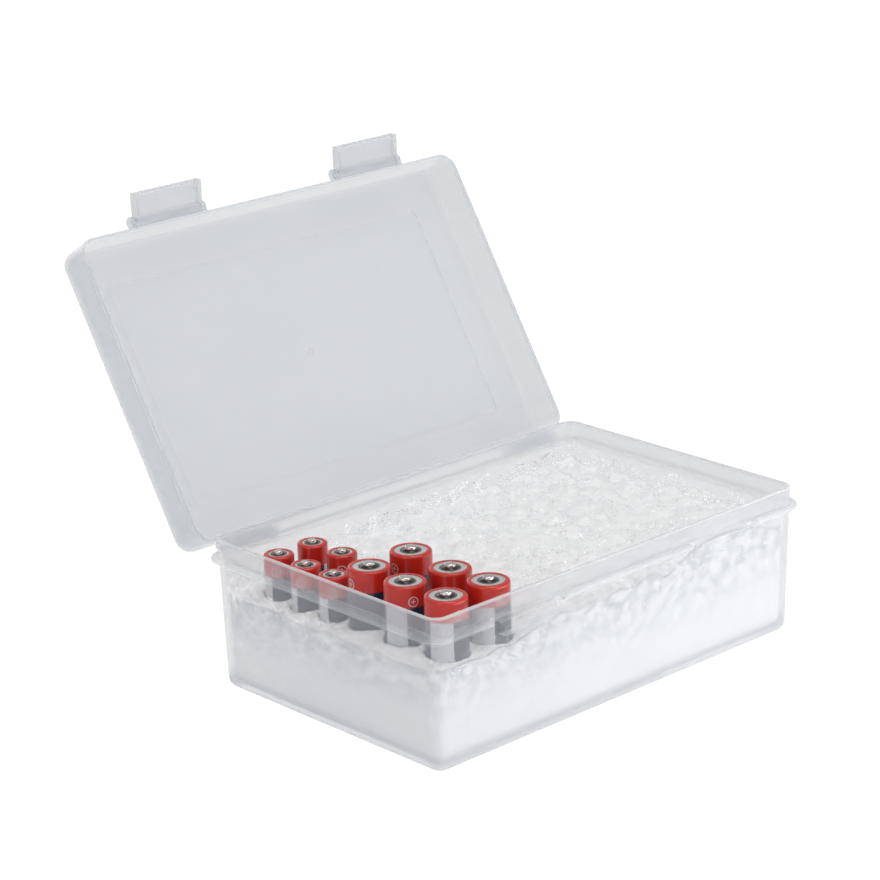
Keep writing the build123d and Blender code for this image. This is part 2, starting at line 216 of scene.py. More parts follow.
def show(n, link, shader):
    """The shader is what the material's surface is made of."""
    out = n.new("ShaderNodeOutputMaterial")
    link.new(shader.outputs["BSDF"], out.inputs["Surface"])


def backdrop_level(n, link, light):
    """Strength of a backdrop: light is what it sends to the case, DIRECT is how the lens sees it,
    and THROUGH is how it looks behind frosted plastic."""
    ray = n.new("ShaderNodeLightPath")
    clear = value_node(n, link, "LESS_THAN", ray.outputs["Transparent Depth"], 0.5)
    seen = value_node(n, link, "ADD", value_node(n, link, "MULTIPLY", clear, DIRECT - THROUGH),
                      THROUGH - light)
    seen = value_node(n, link, "MULTIPLY", ray.outputs["Is Camera Ray"], seen)
    return value_node(n, link, "ADD", seen, light)


SWEEP_HALF = 3.0            # metres
FLOOR_SHINE = 0.92          # how strongly the sweep lights the case
DIRECT = 1.05               # the white backdrop as the lens sees it
THROUGH = 0.85              # the white backdrop as it looks through the plastic
sweep_corners = [(x * SWEEP_HALF, y * SWEEP_HALF, 0)
                 for x, y in ((-1, -1), (1, -1), (1, 1), (-1, 1))]
floor_mesh = bpy.data.meshes.new("sweep")
floor_mesh.from_pydata(sweep_corners, [], [(0, 1, 2, 3)])
floor = bpy.data.objects.new("sweep", floor_mesh)
scene.collection.objects.link(floor)
white, n, link = new_material("white_sweep")
paper = n.new("ShaderNodeBsdfPrincipled")
paper.inputs["Base Color"].default_value = (0.03, 0.03, 0.03, 1)
paper.inputs["Roughness"].default_value = 0.9
paper.inputs["Specular IOR Level"].default_value = 0.0
paper.inputs["Emission Color"].default_value = (1, 1, 1, 1)
link.new(backdrop_level(n, link, FLOOR_SHINE), paper.inputs["Emission Strength"])
show(n, link, paper)
floor_mesh.materials.append(white)

# %% Studio light
STUDIO = 0.42               # soft light from all round
world = bpy.data.worlds.new("studio")
scene.world = world
world.use_nodes = True
n, link = world.node_tree.nodes, world.node_tree.links
n.clear()
air = n.new("ShaderNodeBackground")
air.inputs["Color"].default_value = (1, 1, 1, 1)
out = n.new("ShaderNodeOutputWorld")
link.new(backdrop_level(n, link, STUDIO), air.inputs["Strength"])
link.new(air.outputs["Background"], out.inputs["Surface"])


def soft_light(name, place, aim, width, height, watts):
    """A rectangular soft light at place, turned to aim."""
    data = bpy.data.lights.new(name, "AREA")
    data.shape = "RECTANGLE"
    data.size, data.size_y, data.energy = width, height, watts
    light = bpy.data.objects.new(name, data)
    away = np.array(place, float) - np.array(aim, float)
    away /= np.linalg.norm(away)
    side = np.cross((0, 0, 1), away)
    side /= np.linalg.norm(side)
    look = Matrix([list(row) for row in np.stack([side, np.cross(away, side), away], 1)]).to_4x4()
    look.translation = place
    light.matrix_world = look
    scene.collection.objects.link(light)


AIM = (0, 0, 0.04)
soft_light("top_light", (0.1, -0.25, 1.65), AIM, 1.1, 0.9, 10.5)
soft_light("front_card", (0.16, -0.38, 0.04), (0.05, 0, 0.03), 0.50, 0.07, 0.78)
soft_light("left_light", (-1.4, -0.3, 0.6), AIM, 0.5, 0.9, 2.9)
soft_light("back_light", (0.25, 1.3, 0.30), (0, 0.05, 0.06), 1.1, 0.5, 3.0)
print("sweep, studio air and 4 soft lights")

# %% [markdown]
# ## Frosted polypropylene
# The case is moulded in natural polypropylene: a milky plastic that lets about half of the light
# through and shows, softly, what lies close behind it. It could be made with a glass shader full of
# tiny scattering, which is slow and noisy. Here each face of the wall simply covers a share of what
# is behind it, so a wall, which has two faces, covers more, and a wall seen on edge covers most.
# A wall seen on edge is also painted paler: a painted highlight along rims and edges. A face behind
# several others glows a little: a painted glow that stands in for the light that close layers pass
# on to each other. The fine grain of the mould is a bump, and faint clouds vary the cover.

# %% Mould grain, used by every frosted piece
def socket(tree, name, kind, way, value=None):
    """A named input or output of a node group."""
    s = tree.interface.new_socket(name, in_out=way, socket_type=kind)
    if value is not None:
        s.default_value = value
    return s


grain = bpy.data.node_groups.new("mould_grain", "ShaderNodeTree")
socket(grain, "Grain", "NodeSocketFloat", "INPUT", 0.1)
socket(grain, "Cover", "NodeSocketFloat", "INPUT", 0.4)
socket(grain, "Clouds", "NodeSocketFloat", "INPUT", 0.05)
socket(grain, "Shade", "NodeSocketColor", "INPUT", (0.8, 0.82, 0.85, 1))
socket(grain, "Color", "NodeSocketColor", "OUTPUT")
socket(grain, "Cover", "NodeSocketFloat", "OUTPUT")
socket(grain, "Roughness", "NodeSocketFloat", "OUTPUT")
socket(grain, "Normal", "NodeSocketVector", "OUTPUT")
n, link = grain.nodes, grain.links
given = n.new("NodeGroupInput")
made = n.new("NodeGroupOutput")
GRAIN_SCALE, GRAIN_DEPTH = 2600.0, 0.06 * MM
CLOUD_SCALE = 28.0
where = n.new("ShaderNodeTexCoord").outputs["Object"]
fine = noise_node(n, link, where, GRAIN_SCALE, 2.0)
wide = noise_node(n, link, where, CLOUD_SCALE, 3.0)
tint = n.new("ShaderNodeMix")
tint.data_type = "RGBA"
tint.blend_type = "MULTIPLY"
tint.inputs["B"].default_value = (0.93, 0.94, 0.96, 1)
link.new(wide, tint.inputs["Factor"])
link.new(given.outputs["Shade"], tint.inputs["A"])
cover = value_node(n, link, "MULTIPLY_ADD", value_node(n, link, "SUBTRACT", wide, 0.5),
                   given.outputs["Clouds"], given.outputs["Cover"])
link.new(tint.outputs["Result"], made.inputs["Color"])
link.new(cover, made.inputs["Cover"])
link.new(map_node(n, link, wide, target=(0.38, 0.52)), made.inputs["Roughness"])
link.new(bump_node(n, link, fine, given.outputs["Grain"], GRAIN_DEPTH), made.inputs["Normal"])

# %% Frosted finishes
# Extra cover by height: the thick foot, the bead, the frosted rim and its edge, in millimetres.
TUB_FROST = [(0, 0.42), (1.6, 0.34), (5.6, 0.0), (46.3, 0.0), (46.9, 0.22), (48.0, 0.22),
             (48.6, 0.07), (53.7, 0.07), (54.15, 0.50), (54.6, 0.55)]
LID_FROST = [(40.0, 0.0), (47.9, 0.0), (48.2, 0.40), (48.7, 0.36), (49.1, 0.0), (62.5, 0.0),
             (64.2, 0.10), (65.1, 0.10)]
GLOW, GLOW_REACH = 1.0, 5.0 * MM    # share of the light that wanders through the wall, and how far
FEW_LAYERS, MANY_LAYERS = 2.0, 6.0  # faces in front of the one that is seen
LAYER_GLOW = 0.42                   # painted glow: how much emission lifts a face behind many others
EDGE_SHARPNESS = 3.0                # how quickly the look changes towards the edge
PAINTED_LIGHT_WHITE = (0.84, 0.86, 0.89)      # colour of painted light: the painted highlight on edges and the painted glow of deep faces
LID_OPEN = np.radians(121.7)
HINGE = (0.0, 59.30 * MM, 48.85 * MM)


def frosted(name, shade, cover, edge_cover, profile=None, upward=(0, 0, 1), start=(0, 0, 0),
            clouds=0.05, bump_strength=0.25):
    """Frosted plastic: cover is the share that one face hides of what is behind it, and edge_cover
    is added where the face is seen on edge. profile adds cover by height, where height is the
    distance from start along upward, in the open pose."""
    material, n, link = new_material(name)
    look = n.new("ShaderNodeGroup")
    look.node_tree = grain
    look.inputs["Grain"].default_value = bump_strength
    look.inputs["Cover"].default_value = cover
    look.inputs["Clouds"].default_value = clouds
    look.inputs["Shade"].default_value = (*shade, 1)
    plastic = n.new("ShaderNodeBsdfPrincipled")
    plastic.inputs["IOR"].default_value = 1.49
    plastic.inputs["Specular IOR Level"].default_value = 0.4
    plastic.inputs["Subsurface Weight"].default_value = GLOW
    plastic.inputs["Subsurface Radius"].default_value = (1.0, 1.0, 1.0)
    plastic.inputs["Subsurface Scale"].default_value = GLOW_REACH
    facing = n.new("ShaderNodeLayerWeight")
    facing.inputs["Blend"].default_value = 0.5
    on_edge = value_node(n, link, "POWER", facing.outputs["Facing"], EDGE_SHARPNESS)
    base_cover = look.outputs["Cover"]
    if profile:
        from_start = n.new("ShaderNodeVectorMath")
        from_start.operation = "SUBTRACT"
        from_start.inputs[1].default_value = start
        height = n.new("ShaderNodeVectorMath")
        height.operation = "DOT_PRODUCT"
        height.inputs[1].default_value = upward
        low, high = profile[0][0], profile[-1][0]
        frost = n.new("ShaderNodeValToRGB")
        stops = frost.color_ramp.elements
        for stop_height, _ in profile[1:-1]:
            stops.new((stop_height - low) / (high - low))
        for stop, (_, level) in zip(stops, profile):
            stop.color = (level, level, level, 1)
        link.new(n.new("ShaderNodeTexCoord").outputs["Object"], from_start.inputs[0])
        link.new(from_start.outputs["Vector"], height.inputs[0])
        link.new(map_node(n, link, height.outputs["Value"], (low * MM, high * MM)),
                 frost.inputs["Fac"])
        base_cover = value_node(n, link, "ADD", frost.outputs["Color"], base_cover)
    link.new(value_node(n, link, "MULTIPLY_ADD", on_edge, edge_cover, base_cover, clamp=True),
             plastic.inputs["Alpha"])
    # Faces seen on edge get a paler colour: a painted highlight along rims and edges.
    edge_highlight_tone = value_node(n, link, "MULTIPLY", on_edge, 0.8)
    link.new(mix_colour(n, link, edge_highlight_tone, look.outputs["Color"], PAINTED_LIGHT_WHITE),
             plastic.inputs["Base Color"])
    link.new(look.outputs["Roughness"], plastic.inputs["Roughness"])
    # Faces behind several others glow through emission: a painted glow, not a lamp.
    painted_glow_share = map_node(n, link, n.new("ShaderNodeLightPath").outputs["Transparent Depth"],
                      (FEW_LAYERS, MANY_LAYERS), (0.0, LAYER_GLOW))
    plastic.inputs["Emission Strength"].default_value = 1.0
    link.new(mix_colour(n, link, painted_glow_share, (0.0, 0.0, 0.0), PAINTED_LIGHT_WHITE),
             plastic.inputs["Emission Color"])
    link.new(look.outputs["Normal"], plastic.inputs["Normal"])
    show(n, link, plastic)
    return material


def finish(piece, material):
    """The piece has this one material."""
    piece.data.materials.clear()
    piece.data.materials.append(material)


def dress(node, material):
    """A CAD piece keeps its mesh; only its material slots change."""
    for slot in node.material_slots:
        slot.link = "OBJECT"
        slot.material = material


lid_upward = (0, np.sin(LID_OPEN), np.cos(LID_OPEN))
lid_start = tuple(np.array(HINGE) - HINGE[2] * np.array(lid_upward))
tub_plastic = frosted("frosted_tub", (0.64, 0.655, 0.68), 0.175, 0.12, TUB_FROST)
# The lid and the latches are the same plastic as the tub but get darker colours: a painted shade.
lid_plastic = frosted("frosted_lid", (0.50, 0.53, 0.565), 0.24, 0.06, LID_FROST, lid_upward,
                      lid_start)
latch_plastic = frosted("frosted_latch", (0.54, 0.565, 0.60), 0.36, 0.12)
dress(nodes["base_tub"], tub_plastic)
dress(nodes["lid_shell"], lid_plastic)
dress(nodes["latch_left"], latch_plastic)
dress(nodes["latch_right"], latch_plastic)
print("frosted finishes on tub, lid and latches")

# %% [markdown]
# ## Dry cells
# A dry cell is a turned shape: a profile of radius and height, carried round the cell's axis. The
# steel can shows only at its two ends. The printed sleeve is shrunk on and folds in over the
# shoulder, a dark ring insulates the cap, and the cap is pressed from bright plated sheet. Each of
# the four pieces takes its place and its size from its own solid, and only the roundings are new.

# %% Turned pieces
SEGMENTS = 96
LABEL_UNIT = 0.05           # the label's second coordinate counts in 50 mm below the shoulder


def rounded(points, radii, steps=6):
    """A profile whose corners are replaced by arcs. Each arc is a quadratic blend between points
    one radius before and after its corner."""
    points, out = np.array(points, float), []
    for k, (corner, r) in enumerate(zip(points, radii)):
        if r == 0:
            out.append(corner[None])
            continue
        before, after = points[k - 1], points[(k + 1) % len(points)]
        a = corner + (before - corner) / np.linalg.norm(before - corner) * r
        b = corner + (after - corner) / np.linalg.norm(after - corner) * r
        t = np.linspace(0, 1, steps)[:, None]
        out.append((1 - t) ** 2 * a + 2 * t * (1 - t) * corner + t ** 2 * b)
    return np.concatenate(out)


def turned(name, profile, centre, closed_loop, label=None):
    """A profile of (radius, height) rows turned about an upright axis: x = r cos t, y = r sin t.
    An open profile starts and ends on the axis, where fans of triangles close it. label is
    (direction of the label's middle, height of the shoulder), for the pattern's coordinates."""
    t = np.arange(SEGMENTS) * 2 * np.pi / SEGMENTS
    start = 0.0
    if label is not None:
        start = label[0] - np.pi
        t = t + start
    ring = profile if closed_loop else profile[1:-1]
    x = ring[:, :1] * np.cos(t) + centre[0]
    y = ring[:, :1] * np.sin(t) + centre[1]
    z = np.repeat(ring[:, 1:2], SEGMENTS, axis=1)
    points = np.stack([x, y, z], -1).reshape(-1, 3)
    quads = grid_faces(len(ring), SEGMENTS, closed_loop, True)
    fans = None
    if not closed_loop:
        c = np.arange(SEGMENTS)
        c1 = (c + 1) % SEGMENTS
        last = (len(ring) - 1) * SEGMENTS
        foot, head = len(points), len(points) + 1
        ends = np.array([[*centre, profile[0, 1]], [*centre, profile[-1, 1]]])
        points = np.concatenate([points, ends])
        fans = np.concatenate([np.stack([np.full(SEGMENTS, foot), c1, c], 1),
                               np.stack([np.full(SEGMENTS, head), last + c, last + c1], 1)])
    uv = None
    if label is not None:
        row, column = quads // SEGMENTS, quads % SEGMENTS
        column = np.where((column == 0) & (quads[:, [1, 0, 3, 2]] % SEGMENTS > 1), SEGMENTS, column)
        drop = (label[1] - ring[row, 1]) / LABEL_UNIT
        uv = np.stack([column / SEGMENTS, drop], -1)
    return mesh_piece(name, points, quads, fans, uv)


# %% [markdown]
# ## The cells' finishes
# The sleeve is printed: a red band at the positive end, slate below it, and a white panel down one
# side. Its words are left out, and a plus sign in a ring tells the positive end. The pattern
# follows the sleeve, so it reads the sleeve's own coordinates: how far round, and how far below
# the shoulder. A clear coat gives the print its gloss.

# %% Printed sleeve
def band(n, link, value, low, high):
    """One between two limits and nought elsewhere."""
    above = value_node(n, link, "GREATER_THAN", value, low)
    return value_node(n, link, "MULTIPLY", above, value_node(n, link, "LESS_THAN", value, high))


RED = (0.60, 0.022, 0.012)
SLATE = (0.022, 0.036, 0.066)
PANEL_WHITE = (0.60, 0.61, 0.64)
RED_DROP = 7.2 * MM
PANEL_SHARE = 0.18          # width of the white panel, as a share of the way round
MARK_AT = (0.5 + 50 / 360, 5.0 * MM / LABEL_UNIT)       # the plus sign that tells the positive end
MARK_RADIUS, MARK_LINE = 1.55 * MM, 0.22 * MM


def plus_mark(n, link, around, drop, girth):
    """Mask of a thin ring with a plus sign in it: distances from the mark's middle along and down
    the sleeve, in metres, compared with the ring's radius and the line's width."""
    along, down = [value_node(n, link, "MULTIPLY", value_node(n, link, "SUBTRACT", v, at), unit)
                   for v, at, unit in zip((around, drop), MARK_AT, (girth, LABEL_UNIT))]
    squares = [value_node(n, link, "MULTIPLY", v, v) for v in (along, down)]
    far = value_node(n, link, "SQRT", value_node(n, link, "ADD", *squares))
    ring = band(n, link, far, MARK_RADIUS - MARK_LINE / 2, MARK_RADIUS + MARK_LINE)
    flat, tall = [value_node(n, link, "ABSOLUTE", v) for v in (along, down)]
    arms = [value_node(n, link, "MULTIPLY", value_node(n, link, "LESS_THAN", a, MARK_LINE * 0.7),
                       value_node(n, link, "LESS_THAN", b, MARK_RADIUS * 0.55))
            for a, b in ((flat, tall), (tall, flat))]
    return value_node(n, link, "MAXIMUM", ring, value_node(n, link, "MAXIMUM", *arms))


def printed_sleeve(name, girth):
    """Red, slate and white print under a clear coat, with fine scuffs in its gloss. girth is the
    way round the sleeve, so that the mark comes out round."""
    material, n, link = new_material(name)
    where = n.new("ShaderNodeUVMap")
    where.uv_map = "label"
    around, drop, _ = parts_node(n, link, where.outputs["UV"])
    panel = band(n, link, around, 0.5 - PANEL_SHARE / 2, 0.5 + PANEL_SHARE / 2)
    colour = mix_colour(n, link, panel, SLATE, PANEL_WHITE)
    top = value_node(n, link, "LESS_THAN", drop, RED_DROP / LABEL_UNIT)
    colour = mix_colour(n, link, top, colour, RED)
    colour = mix_colour(n, link, plus_mark(n, link, around, drop, girth), colour, PANEL_WHITE)
    scuffs = noise_node(n, link, n.new("ShaderNodeTexCoord").outputs["Object"], 900.0, 4.0)
    sheet = n.new("ShaderNodeBsdfPrincipled")
    sheet.inputs["Coat Weight"].default_value = 0.35
    sheet.inputs["Coat Roughness"].default_value = 0.12
    link.new(colour, sheet.inputs["Base Color"])
    link.new(map_node(n, link, scuffs, target=(0.24, 0.40)), sheet.inputs["Roughness"])
    show(n, link, sheet)
    return material


# %% Metal and ring
METAL_DEPTH = 0.03 * MM     # of the plating's unevenness
FLANGE_SHADE_SHARE = 0.10               # share of the metal's brightness kept on the flange: a painted shade and dark reflection


def metal(name, colour, roughness, scale, relief, shaded_below=None):
    """Plated steel: a metal whose roughness and relief vary in fine clouds. Further than the given
    depth under its tip, the piece is a flange whose colour is darkened: a painted shade and dark
    reflection."""
    material, n, link = new_material(name)
    cloud = noise_node(n, link, n.new("ShaderNodeTexCoord").outputs["Object"], scale, 3.0)
    steel = n.new("ShaderNodeBsdfPrincipled")
    steel.inputs["Base Color"].default_value = (*colour, 1)
    steel.inputs["Metallic"].default_value = 1.0
    if shaded_below is not None:
        label = n.new("ShaderNodeUVMap")
        label.uv_map = "label"
        drop = parts_node(n, link, label.outputs["UV"])[1]
        flange = value_node(n, link, "GREATER_THAN", drop, shaded_below / LABEL_UNIT)
        # The flange's darker colour is a painted shade and dark reflection.
        flange_shade = tuple(FLANGE_SHADE_SHARE * c for c in colour)
        link.new(mix_colour(n, link, flange, colour, flange_shade), steel.inputs["Base Color"])
    link.new(map_node(n, link, cloud, target=roughness), steel.inputs["Roughness"])
    link.new(bump_node(n, link, cloud, relief, METAL_DEPTH), steel.inputs["Normal"])
    show(n, link, steel)
    return material


def insulating_ring():
    """The ring sunk below the can's edge: matt dark grey with a faint mottle."""
    material, n, link = new_material("insulating_ring")
    fibre = noise_node(n, link, n.new("ShaderNodeTexCoord").outputs["Object"], 2200.0, 2.0)
    colour = mix_colour(n, link, fibre, (0.10, 0.10, 0.10), (0.20, 0.20, 0.19))
    ring = n.new("ShaderNodeBsdfPrincipled")
    ring.inputs["Roughness"].default_value = 0.7
    link.new(colour, ring.inputs["Base Color"])
    show(n, link, ring)
    return material


DIAMETERS = {"large": 14.5 * MM, "small": 10.5 * MM}
sleeve_finish = {size: printed_sleeve("printed_sleeve_" + size, np.pi * across)
                 for size, across in DIAMETERS.items()}
can_finish = metal("satin_steel", (0.88, 0.88, 0.87), (0.34, 0.48), 500.0, 0.3)
cap_finish = metal("bright_steel", (0.80, 0.79, 0.76), (0.16, 0.26), 300.0, 0.1, 0.95 * MM)
ring_finish = insulating_ring()

# %% [markdown]
# Each cell stands turned a little differently, as loose cells do. The angle says where its white
# panel faces, counted from the side that the front left corner of the case sees.

# %% Cells
FACING = np.radians(-133.0)         # towards the near corner of the case
PANEL_TURN = {                      # degrees from there to the middle of the white panel
    "large_cell_1": -15, "large_cell_2": -29, "large_cell_3": -108,
    "large_cell_4": -19, "large_cell_5": 60, "large_cell_6": -100,
    "small_cell_1": -55, "small_cell_2": -67, "small_cell_3": -59,
    "small_cell_4": -50, "small_cell_5": 80,
}


def cell(name):
    """Can, sleeve, ring and cap of one cell, each a turned profile inside its solid's box."""
    solids = ("can", "sleeve", "washer", "cap")
    low, high = [{p: np.array(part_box(f"{name}_{p}")[end]) for p in solids} for end in (0, 1)]
    centre = (low["sleeve"] + high["sleeve"])[:2] / 2
    radius = (high["sleeve"] - low["sleeve"])[0] / 2
    inner = (high["can"] - low["can"])[0] / 2
    foot, shoulder, tip = low["can"][2], high["sleeve"][2], high["cap"][2]
    sleeve_foot, can_top = low["sleeve"][2], high["can"][2]
    ring_out = (high["washer"] - low["washer"])[0] / 2
    cap_out = (high["cap"] - low["cap"])[0] / 2
    fold = inner - 1.5 * MM
    lip = shoulder - can_top
    nub = tip - shoulder
    well = low["washer"][2]

    can = rounded([(0, foot + 0.25 * MM), (inner * 0.62, foot + 0.25 * MM), (inner * 0.66, foot),
                   (inner, foot), (inner, can_top), (ring_out, can_top), (ring_out, well),
                   (0, well)],
                  [0, 0.2 * MM, 0.2 * MM, 0.9 * MM, 0.85 * MM, 0.15 * MM, 0, 0])
    sleeve = rounded([(radius, sleeve_foot), (radius, shoulder), (fold, shoulder), (fold, can_top),
                      (inner, can_top), (inner, sleeve_foot)],
                     [0.08 * MM, 1.0 * MM, lip * 0.45, 0, 0.8 * MM, 0])
    ring = rounded([(cap_out, well), (ring_out, well), (ring_out, can_top), (cap_out, can_top)],
                   [0, 0, 0.1 * MM, 0.1 * MM])
    waist = cap_out * 0.66
    cap = rounded([(0, well), (cap_out, well), (cap_out, can_top), (waist, can_top + 0.20 * nub),
                   (waist * 0.96, tip - 0.04 * MM), (0, tip)],
                  [0, 0.05 * MM, 0.15 * MM, 0.20 * MM, 0.45 * MM, 0])
    label = (FACING + np.radians(PANEL_TURN[name]), shoulder)
    made = (
        ("can", turned(f"{name}_can_body", can, centre, False), can_finish, "cell_steel"),
        ("sleeve", turned(f"{name}_print", sleeve, centre, True, label),
         sleeve_finish[name[:5]], "cell_sleeve"),
        ("washer", turned(f"{name}_ring", ring, centre, True), ring_finish, "cell_washer"),
        ("cap", turned(f"{name}_nub", cap, centre, False, (0.0, tip)), cap_finish, "cell_cap"),
    )
    for part, piece, material, slot_name in made:
        finish(piece, material)
        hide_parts(f"{name}_{part}")
        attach(piece, "tub")
    return centre, radius


cells = {name: cell(name) for name in PANEL_TURN}
print(len(cells), "cells of 4 pieces")

# %% [markdown]
# ## Crumpled clear film
# The case is filled with thin clear film, crushed into a heap. Clear film that has been crumpled
# scatters light at thousands of creases, so the heap looks white with bright points. Here the
# bright
# points are partly painted: bright specks and a faint glow in the film's finish are painted
# highlights, and its sides are painted greyer than its top, a painted shade. It could be simulated
# as cloth, but tens of square metres of film won't fit in a mesh. A heap is made instead: its
# outside is one closed surface with folded waves in it, the cells stand in wells in it, and small
# glinting folds lie on top and along the walls.

# %% Folded waves and clouds
rng = np.random.default_rng(7)


def folded_waves(x, y, size, count, seed):
    """Sum of triangle waves in random directions, each a straight run of creases about size apart,
    bent a little by a slow sine across it. The sum lies between -1 and 1 and looks like foil."""
    r = np.random.default_rng(seed)
    angle = r.uniform(0, np.pi, count)
    step = size * r.uniform(0.6, 1.7, count)
    phase = r.uniform(0, 1, count)
    total = np.zeros_like(x)
    for a, s, p in zip(angle, step, phase):
        along = (x * np.cos(a) + y * np.sin(a)) / s + p
        across = (-x * np.sin(a) + y * np.cos(a)) / (3.1 * s)
        wave = along + 0.45 * np.sin(2 * np.pi * across + 9 * p)
        total += 2 * np.abs(2 * (wave - np.floor(wave + 0.5))) - 1
    return total / count


def clouds(x, y, size, seed):
    """Smooth random height between -1 and 1: random values on a lattice, blended with s-curves."""
    r = np.random.default_rng(seed)
    table = r.uniform(-1, 1, (64, 64))
    u, v = x / size + 1000.0, y / size + 1000.0
    i, j = np.floor(u).astype(int), np.floor(v).astype(int)
    fu, fv = u - i, v - j
    fu, fv = fu * fu * (3 - 2 * fu), fv * fv * (3 - 2 * fv)
    a = table[i % 64, j % 64] * (1 - fu) + table[(i + 1) % 64, j % 64] * fu
    b = table[i % 64, (j + 1) % 64] * (1 - fu) + table[(i + 1) % 64, (j + 1) % 64] * fu
    return a * (1 - fv) + b * fv


# %% Heap of film
fill_high = np.array(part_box("packing_fill")[1])
FILL_HALF = fill_high[:2] - 0.15 * MM
FILL_TOP = fill_high[2]
WALL_LEAN = np.tan(np.radians(1.15))
CORNER = 3.3 * MM


def cap(x, y, centre, radius, rise):
    """Height of a sunken ball above the slope: root(radius^2 - distance^2) less what is sunk."""
    d2 = (x - centre[0]) ** 2 + (y - centre[1]) ** 2
    return np.maximum(np.sqrt(np.maximum(radius ** 2 - d2, 0)) - (radius - rise), 0)


HUMP = (52 * MM, -50 * MM)
HUMP_RADIUS, HUMP_RISE = 60 * MM, 6.6 * MM
LUMP_RADIUS, LUMP_RISE = 11.5 * MM, 1.9 * MM
LUMP_PITCH, LUMP_SHIFT = (14.2 * MM, 13.4 * MM), 7.1 * MM


def heap_height(x, y):
    """Height of the heap without its creases: a slope, a hump against the front wall, the solid's
    soft lumps in staggered rows, a little out of true, and slow clouds."""
    open_side = np.clip((x + 52 * MM) / (22 * MM), 0, 1)
    slope = 35.3 * MM + 2.3 * MM * open_side + 3.2 * MM * (x / FILL_HALF[0] + 1) / 2
    hump = cap(x, y, HUMP, HUMP_RADIUS, HUMP_RISE)
    bx, by = x + 1.8 * MM * clouds(x, y, 9 * MM, 3), y + 1.8 * MM * clouds(x, y, 9 * MM, 4)
    lumps = np.zeros_like(x)
    for row in range(-4, 5):
        for column in range(-6, 7):
            centre = (column * LUMP_PITCH[0] + (row % 2) * LUMP_SHIFT, row * LUMP_PITCH[1])
            if np.hypot(centre[0] - HUMP[0], centre[1] - HUMP[1]) > 37 * MM:
                lumps = np.maximum(lumps, cap(bx, by, centre, LUMP_RADIUS, LUMP_RISE))
    lumps = lumps * (0.35 + 0.65 * open_side)
    return slope + hump + lumps + 0.6 * MM * clouds(x, y, 11 * MM, 5)


def creases(x, y):
    """Relief of the crushed film, from broad folds down to fine ones."""
    patch = 0.6 + 0.5 * clouds(x, y, 12 * MM, 14)
    calm = 0.45 + 0.55 * np.clip((x + 50 * MM) / (20 * MM), 0, 1)
    return calm * patch * (0.7 * MM * folded_waves(x, y, 6 * MM, 5, 11)
                           + 0.45 * MM * folded_waves(x, y, 3 * MM, 5, 12)
                           + 0.35 * MM * folded_waves(x, y, 1.7 * MM, 4, 13))


def round_corners(x, y, half_x, half_y, radius):
    """Squares near the corners become circles: the part beyond the corner's centre is shortened so
    that the greater of its two shares becomes its length."""
    qx, qy = np.abs(x) - (half_x - radius), np.abs(y) - (half_y - radius)
    near = (qx > 0) & (qy > 0)
    length = np.hypot(qx, qy)
    share = np.where(near, np.maximum(qx, qy) / np.where(length > 0, length, 1), 1)
    x = np.where(near, np.sign(x) * (half_x - radius + qx * share), x)
    y = np.where(near, np.sign(y) * (half_y - radius + qy * share), y)
    return x, y


STEP = 0.75 * MM
u = np.linspace(-1, 1, int(2 * FILL_HALF[0] / STEP) | 1)
v = np.linspace(-1, 1, int(2 * FILL_HALF[1] / STEP) | 1)
gx, gy = np.meshgrid(u * FILL_HALF[0], v * FILL_HALF[1], indexing="ij")
gx, gy = round_corners(gx, gy, *FILL_HALF, CORNER)
to_wall = np.minimum(FILL_HALF[0] - np.abs(gx), FILL_HALF[1] - np.abs(gy))
WALL_SLUMP, SLUMP_REACH = 1.6 * MM, 2.5 * MM
gz = heap_height(gx, gy) + creases(gx, gy) - WALL_SLUMP * np.exp(-to_wall / SLUMP_REACH)

WELL_GAP = 0.25 * MM
WELL_FOOT = 6.6 * MM
WELL_FLAT, WELL_WALL = 0.62, 0.80   # shares of the zone that are pulled to the floor and the wall
HIGHEST = 47.2 * MM                 # the film stays below the rim
OUTER_BAND = 0.97                   # beyond this share of the way out, the wall's lean counts
for centre, radius in cells.values():
    zone = radius + (1.15 * MM if radius > 6 * MM else 0.9 * MM)
    dx, dy = gx - centre[0], gy - centre[1]
    away = np.hypot(dx, dy)
    share = away / zone
    bore = radius + WELL_GAP
    beyond = bore + (share - WELL_WALL) / (1 - WELL_WALL) * (zone - bore)
    new = np.where(share < WELL_FLAT, share / WELL_FLAT * bore,
                   np.where(share < WELL_WALL, bore, beyond))
    inside = share < 1
    grow = np.where(inside & (away > 0), new / np.where(away > 0, away, 1), 1)
    gx, gy = centre[0] + dx * grow, centre[1] + dy * grow
    rise = np.clip((share - WELL_FLAT) / (WELL_WALL - WELL_FLAT), 0, 1)
    gz = np.where(inside, WELL_FOOT + rise * (gz - WELL_FOOT), gz)

gz = np.minimum(gz, HIGHEST)
lean_in = 1 - (FILL_TOP - np.clip(gz, 0, FILL_TOP)) * WALL_LEAN / FILL_HALF[1]
edge = np.maximum(np.abs(gx) / FILL_HALF[0], np.abs(gy) / FILL_HALF[1])
pull = np.where(edge > OUTER_BAND, np.minimum(lean_in, 1), 1)
gx, gy = gx * pull, gy * pull


def outline(points):
    """The rim of a grid of points, once round."""
    return np.concatenate([points[:-1, 0], points[-1, :-1], points[:0:-1, -1], points[0, :0:-1]])


